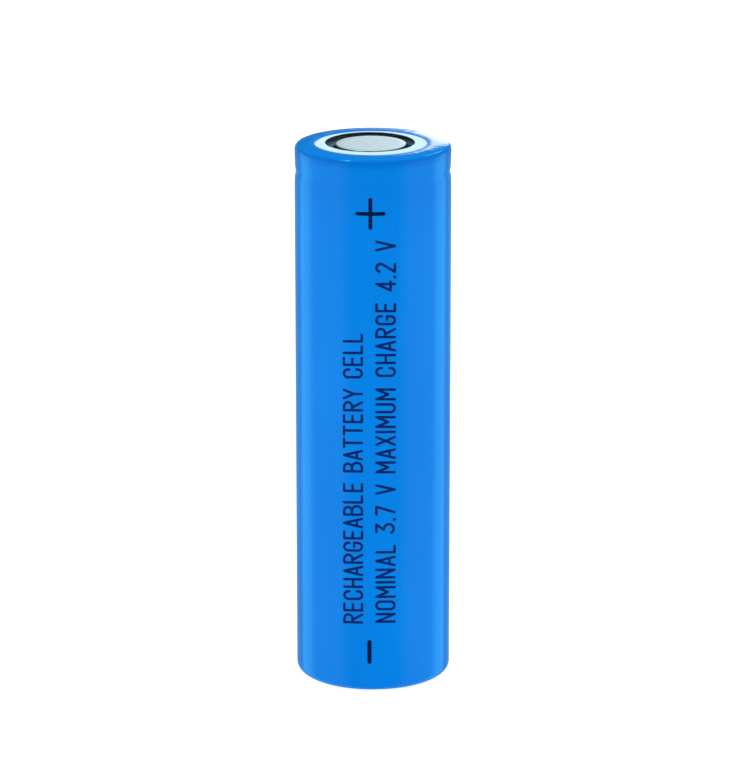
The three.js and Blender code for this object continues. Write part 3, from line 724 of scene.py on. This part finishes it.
# three vent windows in the wall
for i in range(3):
    a = TAU * i / 3 + math.pi / 2
    bm = bmesh.new()
    bmesh.ops.create_cube(bm, size=1.0)
    bmesh.ops.scale(bm, verts=bm.verts, vec=(1.6 * MM, 2.4 * MM, 0.40 * MM))
    bmesh.ops.bevel(bm, geom=[e for e in bm.edges if abs((e.verts[0].co - e.verts[1].co).normalized().x) > 0.9],
                    offset=0.12 * MM, segments=4, affect="EDGES")
    bmesh.ops.translate(bm, verts=bm.verts, vec=(4.2 * MM, 0, (CT - 0.63) * MM))
    bmesh.ops.rotate(bm, verts=bm.verts, cent=(0, 0, 0), matrix=Matrix.Rotation(a, 3, "Z"))
    me = bpy.data.meshes.new("window_cut")
    bm.to_mesh(me)
    bm.free()
    cutter = bpy.data.objects.new("window_cut", me)
    scene.collection.objects.link(cutter)
    mod = cap.modifiers.new("window", "BOOLEAN")
    mod.operation = "DIFFERENCE"
    mod.solver = "EXACT"
    mod.object = cutter
    deps = bpy.context.evaluated_depsgraph_get()
    done = bpy.data.meshes.new_from_object(cap.evaluated_get(deps))
    cap.modifiers.clear()
    old = cap.data
    cap.data = done
    bpy.data.meshes.remove(old)
    bpy.data.objects.remove(cutter)
cap.data.polygons.foreach_set("use_smooth", [True] * len(cap.data.polygons))
cap.data.set_sharp_from_angle(angle=math.radians(30))
wear(cap, nickel_material("nickel_plated_cap", srgb(208, 230, 239), 0.26, 0.34, (0.5, 0.35, 0.5), 0.03, srgb(204, 227, 236), 0.3, CT))
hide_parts("positive_cap")
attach(cap, "root")


# ------------------------------------------------------------------ print: plain single-stroke characters, wrapped on the film
def semi(cx, cy, r, a0, a1, n=10):
    return [(cx + r * math.cos(math.radians(a0 + (a1 - a0) * i / n)), cy + r * math.sin(math.radians(a0 + (a1 - a0) * i / n))) for i in range(n + 1)]


W, H = 0.94, 2.17  # centreline width and height of a character
K = W / 2


def glyphs():
    g = {}
    g["C"] = [[(W, H - 0.62)] + semi(K, H - K, K, 0, 180) + semi(K, K, K, 180, 360) + [(W, 0.62)]]
    g["G"] = [[(W, H - 0.62)] + semi(K, H - K, K, 0, 180) + semi(K, K, K, 180, 360) + [(W, 0.95), (K + 0.02, 0.95)]]
    g["O"] = [semi(K, H - K, K, 0, 180) + semi(K, K, K, 180, 360) + [(W, H - K)]]
    g["U"] = [[(0, H)] + semi(K, K, K, 180, 360) + [(W, H)]]
    g["R"] = [[(0, 0), (0, H)] + [(W - 0.45, H)] + semi(W - 0.46, H - 0.50, 0.46 + 0.04, 90, -90)[1:] + [(0, H - 1.0)], [(0.34, H - 1.0), (W + 0.02, 0)]]
    g["B"] = [
        [(0, 0), (0, H), (W - 0.48, H)] + semi(W - 0.48, H - 0.48, 0.48, 90, -90)[1:] + [(0, H - 0.96)],
        [(W - 0.50, H - 0.96)] + semi(W - 0.50, (H - 0.96) / 2, (H - 0.96) / 2, 90, -90)[1:] + [(0, 0)],
    ]
    g["E"] = [[(W - 0.04, H), (0, H), (0, 0), (W - 0.04, 0)], [(0, H / 2 + 0.04), (W - 0.14, H / 2 + 0.04)]]
    g["F"] = [[(W - 0.04, H), (0, H), (0, 0)], [(0, H / 2), (W - 0.14, H / 2)]]
    g["H"] = [[(0, 0), (0, H)], [(W, 0), (W, H)], [(0, H / 2), (W, H / 2)]]
    g["A"] = [[(-0.04, 0), (K, H), (W + 0.04, 0)], [(0.11, 0.62), (W - 0.11, 0.62)]]
    g["L"] = [[(0, H), (0, 0), (W - 0.08, 0)]]
    g["T"] = [[(-0.03, H), (W + 0.03, H)], [(K, H), (K, 0)]]
    g["Y"] = [[(-0.04, H), (K, 0.95)], [(W + 0.04, H), (K, 0.95)], [(K, 0.95), (K, 0)]]
    g["N"] = [[(0, 0), (0, H), (W, 0), (W, H)]]
    g["M"] = [[(0, 0), (0, H), (K, 0.80), (W, H), (W, 0)]]
    g["X"] = [[(0, 0), (W, H)], [(0, H), (W, 0)]]
    g["I"] = [[(K, 0), (K, H)]]
    g["V"] = [[(-0.03, H), (K, 0), (W + 0.03, H)]]
    g["2"] = [semi(K, H - K, K, 165, -20) + [(0, 0), (W, 0)]]
    g["3"] = [[(0.02, H), (W - 0.02, H), (0.30, H - 0.86)] + semi(K - 0.06, K + 0.22, K + 0.10, 75, -150, 12)]
    g["4"] = [[(W - 0.22, 0), (W - 0.22, H), (-0.04, 0.52), (W + 0.05, 0.52)]]
    g["7"] = [[(0, H), (W, H), (0.26, 0)]]
    g["."] = [[(K, 0.0), (K, 0.04)]]
    return g


def dense(points, step):
    out = [points[0]]
    for p, q in zip(points, points[1:]):
        n = max(1, math.ceil(math.dist(p, q) / step))
        out += [(p[0] + (q[0] - p[0]) * i / n, p[1] + (q[1] - p[1]) * i / n) for i in range(1, n + 1)]
    return out


def stroke_outlines(points, width):
    """Outlines of one pen stroke: a quad for each run and a disc at each joint and end, to be joined."""
    h = width / 2
    polys = []
    for p, q in zip(points, points[1:]):
        L = math.dist(p, q)
        if L < 1e-6:
            continue
        dx, dy = (q[0] - p[0]) / L, (q[1] - p[1]) / L
        n = max(1, math.ceil(L / 0.24))
        left = [(p[0] + (q[0] - p[0]) * i / n - dy * h, p[1] + (q[1] - p[1]) * i / n + dx * h) for i in range(n + 1)]
        right = [(p[0] + (q[0] - p[0]) * i / n + dy * h, p[1] + (q[1] - p[1]) * i / n - dx * h) for i in range(n + 1)]
        polys.append(right + left[::-1])
    for k, p in enumerate(points):
        if 0 < k < len(points) - 1:
            a = Vector((points[k][0] - points[k - 1][0], points[k][1] - points[k - 1][1]))
            b = Vector((points[k + 1][0] - points[k][0], points[k + 1][1] - points[k][1]))
            if a.length > 1e-6 and b.length > 1e-6 and abs(a.angle_signed(b)) < 0.02:
                continue
        polys.append([(p[0] + h * math.cos(TAU * i / 14), p[1] + h * math.sin(TAU * i / 14)) for i in range(14)])
    return polys


def surface(u, z, lift):
    """A point on the film: u is the distance round from the front, to the right, and z the height."""
    th = u / R_BODY - math.pi / 2
    r = film_radius(z) + film_shift(th, R_BODY, z, 1.0, 0.0) + lift
    return (r * math.cos(th), r * math.sin(th), z)


def print_piece(name, groups):
    """Each group of outlines is joined flat, in (u, z), then wrapped on the film as a thin closed layer of ink."""
    verts, faces = [], []
    for polys in groups:
        flat, loops = [], []
        for poly in polys:
            loops.append(list(range(len(flat), len(flat) + len(poly))))
            flat += [Vector(p) for p in poly]
        co, _, tris, _, _, origin = geometry.delaunay_2d_cdt(flat, [], loops, 0, 1e-5)
        tris = [t for t, o in zip(tris, origin) if o]
        seen = {}
        for t in tris:
            for a, b in zip(t, list(t[1:]) + [t[0]]):
                seen[(a, b)] = seen.get((a, b), 0) + 1
        base = len(verts)
        n = len(co)
        for c in co:
            verts.append(surface(c.x, c.y, 0.012))
        for c in co:
            verts.append(surface(c.x, c.y, -0.010))
        for t in tris:
            faces.append([base + i for i in t])
            faces.append([base + n + i for i in reversed(t)])
        for (a, b) in seen:
            if (b, a) not in seen:
                faces.append([base + b, base + a, base + n + a, base + n + b])
    ob = new_object(name, verts, faces, 40.0)
    wear(ob, INK_MARKS if name.endswith("_mark") else INK_LINES)
    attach(ob, "root")
    return ob


INK_LINES = ink_material("dark_print_ink", srgb(0, 29, 86), srgb(0, 40, 108))
INK_MARKS = ink_material("dark_print_ink_dense", srgb(0, 17, 54), srgb(0, 27, 74))
GLYPHS = glyphs()
PEN = 0.305
WIDTHS = {"I": 0.0, ".": 0.0, " ": 0.42, "M": 1.18, "L": 0.84, "E": 0.86, "F": 0.86}


def text_line(name, words, baseline_u, z0, z1):
    """Reads upwards: the foot of the characters is at baseline_u, on the right, and their tops are to its left."""
    widths = [WIDTHS.get(ch, W) for ch in words]
    between = (z1 - z0 - PEN - sum(widths)) / (len(words) - 1)
    groups = []
    at = z0 + PEN / 2
    for ch, width in zip(words, widths):
        polys = []
        for s in GLYPHS.get(ch, []):
            pts = [(baseline_u - PEN / 2 - y, at + x * (width / W if width else 1.0) - (0.0 if width else K)) for x, y in s]
            pts = dense(pts, 0.24)
            polys += stroke_outlines([(u, z - BOW * (1 - math.cos(u / R_BODY))) for u, z in pts], PEN if ch != "." else PEN * 1.2)
        if polys:
            groups.append(polys)
        at += width + between
    return print_piece(name, groups)


BOW = 0.27 * R_BODY  # the lines were printed with a slight bow, which keeps the characters level from the front
text_line("print_line_left", "RECHARGEABLE BATTERY CELL", -1.15, 8.60, 44.35)
text_line("print_line_right", "NOMINAL 3.7 V MAXIMUM CHARGE 4.2 V", 2.73, 8.70, 55.40)


def bar(u0, z0, u1, z1, width):
    return stroke_outlines(dense([(u0, z0), (u1, z1)], 0.24), width)


print_piece("print_plus_mark", [bar(-0.294 - 1.54, 58.57, -0.294 + 1.54, 58.57, 0.44) + bar(-0.294, 56.90, -0.294, 60.24, 0.44)])
print_piece("print_minus_mark", [bar(-0.422, 3.79, -0.422, 6.28, 0.50)])

# ------------------------------------------------------------------ finishes for what lies inside
MEMBRANE = membrane_material()
TAPE = tape_material("amber_tape", srgb(200, 146, 46), srgb(176, 118, 30))
DISC = moulded_material("off_white_insulator", srgb(232, 228, 216), srgb(240, 237, 227), (0.45, 0.6))
ALU = strip_metal_material("rolled_aluminium", srgb(222, 224, 226), 0.3)
for node, mat in {
    "ptc_ring": strip_metal_material("ptc_nickel_foil", srgb(168, 170, 170), 0.42),
    "vent_disc": ALU,
    "cid_insulator_ring": moulded_material("interrupt_insulator", srgb(226, 221, 206), srgb(235, 231, 219), (0.4, 0.55)),
    "cid_weld_plate": ALU,
    "cathode_sheet": coated_material("cathode_oxide", srgb(26, 26, 28), srgb(38, 38, 41), 0.62),
    "anode_sheet": coated_material("anode_graphite", srgb(48, 49, 52), srgb(64, 66, 69), 0.5, 0.2),
    "inner_separator": MEMBRANE,
    "outer_separator": MEMBRANE,
    "roll_closing_tape": tape_material("pale_closing_tape", srgb(214, 192, 118), srgb(196, 172, 96)),
    "center_pin": strip_metal_material("pin_steel", srgb(186, 188, 190), 0.3),
    "cathode_tab": ALU,
    "cathode_tab_tape": TAPE,
    "anode_tab": strip_metal_material("nickel_strip", srgb(184, 180, 170), 0.34),
    "anode_tab_tape": TAPE,
    "upper_insulator": DISC,
    "lower_insulator": DISC,
}.items():
    wear(NODES[node], mat)

# ------------------------------------------------------------------ floor, world and lights
floor_mat = Nodes("pale_floor", (0.97, 0.97, 0.97, 1))
f_noise = floor_mat.noise(floor_mat.scaled(0.02, 0.02, 0.02), 1.0, 3.0, 0.5)
floor_mat.set(
    Base_Color=floor_mat.mix(floor_mat.ramp(f_noise, 0.3, 0.7), (0.36, 0.36, 0.36), (0.38, 0.38, 0.38)),
    Roughness=0.8,
    Specular_IOR_Level=0.1,
    Emission_Color=(1.0, 1.0, 1.0),
    Emission_Strength=0.80,
)
bpy.ops.mesh.primitive_circle_add(vertices=128, radius=6.0, fill_type="NGON", location=(0, 0, 0))
floor = bpy.context.active_object
floor.name = "floor"
wear(floor, floor_mat.mat)
floor.visible_glossy = False

world = bpy.data.worlds.new("studio")
scene.world = world
world.use_nodes = True
wt = world.node_tree
wt.nodes.clear()


def wn(kind, **kw):
    n = wt.nodes.new(kind)
    for k, v in kw.items():
        setattr(n, k, v)
    return n


def wmath(op, a, b=0.0, c=0.0):
    n = wn("ShaderNodeMath", operation=op)
    for i, v in enumerate((a, b, c)):
        if isinstance(v, (int, float)):
            n.inputs[i].default_value = v
        else:
            wt.links.new(v, n.inputs[i])
    return n.outputs[0]


def wstep(x, lo, hi, a=0.0, b=1.0):
    n = wn("ShaderNodeMapRange", interpolation_type="SMOOTHSTEP")
    n.inputs["From Min"].default_value = lo
    n.inputs["From Max"].default_value = hi
    n.inputs["To Min"].default_value = a
    n.inputs["To Max"].default_value = b
    wt.links.new(x, n.inputs["Value"])
    return n.outputs["Result"]


w_coord = wn("ShaderNodeTexCoord")
w_xyz = wn("ShaderNodeSeparateXYZ")
wt.links.new(w_coord.outputs["Generated"], w_xyz.inputs[0])
DX, DY, DZ = w_xyz.outputs
azimuth = wmath("MULTIPLY", wmath("ARCTAN2", DX, wmath("MULTIPLY", DY, -1.0)), 180 / math.pi)  # 0 in front, +90 right
elevation = wmath("MULTIPLY", wmath("ARCSINE", DZ), 180 / math.pi)
side = wmath("ABSOLUTE", azimuth)


def band(x, a, b, c, d):
    """Rises from a to b, falls from c to d."""
    return wmath("MULTIPLY", wstep(x, a, b), wstep(x, c, d, 1.0, 0.0))


# what the glossy surfaces see: dark in front, broad panels at both sides, a dim backdrop behind, and one softbox low at the back, right of centre
low = wstep(elevation, 3, 11, 1.0, 0.10)
panels = wmath("MULTIPLY", wstep(wmath("SUBTRACT", side, wmath("MULTIPLY", wmath("GREATER_THAN", azimuth, 0.0), 5.0)), 29, 54), 0.22)
panels = wmath("SUBTRACT", panels, wmath("MULTIPLY", wstep(side, 126, 140), 0.07))
panels = wmath("MULTIPLY", panels, low)
round_back = wmath("ADD", azimuth, wmath("MULTIPLY", wmath("LESS_THAN", azimuth, 0.0), 360.0))  # 180 at the back, more to the left
backdrop = wmath("MULTIPLY", wmath("MULTIPLY", wstep(side, 160, 172), wstep(elevation, -3, 3, 1.0, 0.0)), 0.10)
backdrop = wmath("ADD", backdrop, wmath("MULTIPLY", wmath("MULTIPLY", band(round_back, 175, 177.5, 178.8, 181.6), wstep(elevation, 11, 13.8, 1.0, 0.0)), 0.50))
leaning = wmath("SUBTRACT", round_back, wmath("MULTIPLY", wmath("SUBTRACT", elevation, 10.0), 0.12))
softbox = wmath("MULTIPLY", wmath("MULTIPLY", wstep(round_back, 168, 171), wstep(leaning, 178.8, 179.25, 1.0, 0.0)), band(elevation, 0.0, 3.5, 12.9, 14.4))
softbox = wmath("MULTIPLY", softbox, 2.25)
rim = wmath("MULTIPLY", wmath("MULTIPLY", band(side, 96, 112, 126, 140), low), 1.4)
rim = wmath("ADD", rim, wmath("MULTIPLY", wmath("MULTIPLY", band(side, 142, 158, 174, 178), low), 0.28))


def lamp(at, up, radius, strength):
    """A small round lamp at this azimuth and elevation."""
    x = math.cos(math.radians(up)) * math.sin(math.radians(at))
    y = -math.cos(math.radians(up)) * math.cos(math.radians(at))
    dot = wmath("ADD", wmath("ADD", wmath("MULTIPLY", DX, x), wmath("MULTIPLY", DY, y)), wmath("MULTIPLY", DZ, math.sin(math.radians(up))))
    return wstep(dot, math.cos(math.radians(radius + 2.5)), math.cos(math.radians(radius - 2.5)), 0.0, strength)


rim = wmath("ADD", rim, wmath("ADD", lamp(-74.9, 67.0, 6.0, 34.0), lamp(165.3, 29.8, 4.0, 9.0)))
total = wmath("ADD", wmath("ADD", panels, softbox), backdrop)
total = wmath("ADD", total, 0.015)

gloss_bg = wn("ShaderNodeBackground")
gloss_bg.inputs["Color"].default_value = (0.96, 0.985, 1.0, 1)
wt.links.new(total, gloss_bg.inputs["Strength"])
rim_bg = wn("ShaderNodeBackground")
rim_bg.inputs["Color"].default_value = (0.08, 0.66, 1.0, 1)
wt.links.new(rim, rim_bg.inputs["Strength"])
gloss_sum = wn("ShaderNodeAddShader")
wt.links.new(gloss_bg.outputs[0], gloss_sum.inputs[0])
wt.links.new(rim_bg.outputs[0], gloss_sum.inputs[1])
soft_bg = wn("ShaderNodeBackground")
soft_bg.inputs["Color"].default_value = (1.0, 1.0, 1.0, 1)
sides = wmath("MULTIPLY", wstep(side, 92, 115), wstep(elevation, 5, 40, 0.6, 0.0))
wt.links.new(wmath("MULTIPLY", wstep(elevation, 0, 90, 0.98, 0.88), wmath("ADD", sides, 1.0)), soft_bg.inputs["Strength"])
path = wn("ShaderNodeLightPath")
w_mix = wn("ShaderNodeMixShader")
wt.links.new(path.outputs["Is Glossy Ray"], w_mix.inputs[0])
wt.links.new(soft_bg.outputs[0], w_mix.inputs[1])
wt.links.new(gloss_sum.outputs[0], w_mix.inputs[2])
w_out = wn("ShaderNodeOutputWorld")
wt.links.new(w_mix.outputs[0], w_out.inputs["Surface"])
world.cycles.sampling_method = "NONE"


def area(name, loc, size, power, target=(0, 0, 32)):
    d = bpy.data.lights.new(name, "AREA")
    d.shape = "RECTANGLE"
    d.size, d.size_y = size
    d.energy = power
    o = bpy.data.objects.new(name, d)
    scene.collection.objects.link(o)
    o.location = tuple(c * MM for c in loc)
    o.rotation_euler = (Vector(target) * MM - o.location).to_track_quat("-Z", "Y").to_euler()
    o.visible_camera = False
    o.visible_glossy = False
    return o


area("fill_left", (-520, -260, 420), (0.5, 0.5), 0.8)
area("fill_right", (560, -160, 380), (0.5, 0.5), 0.8)
area("fill_back", (60, 620, 420), (0.5, 0.3), 2.2)
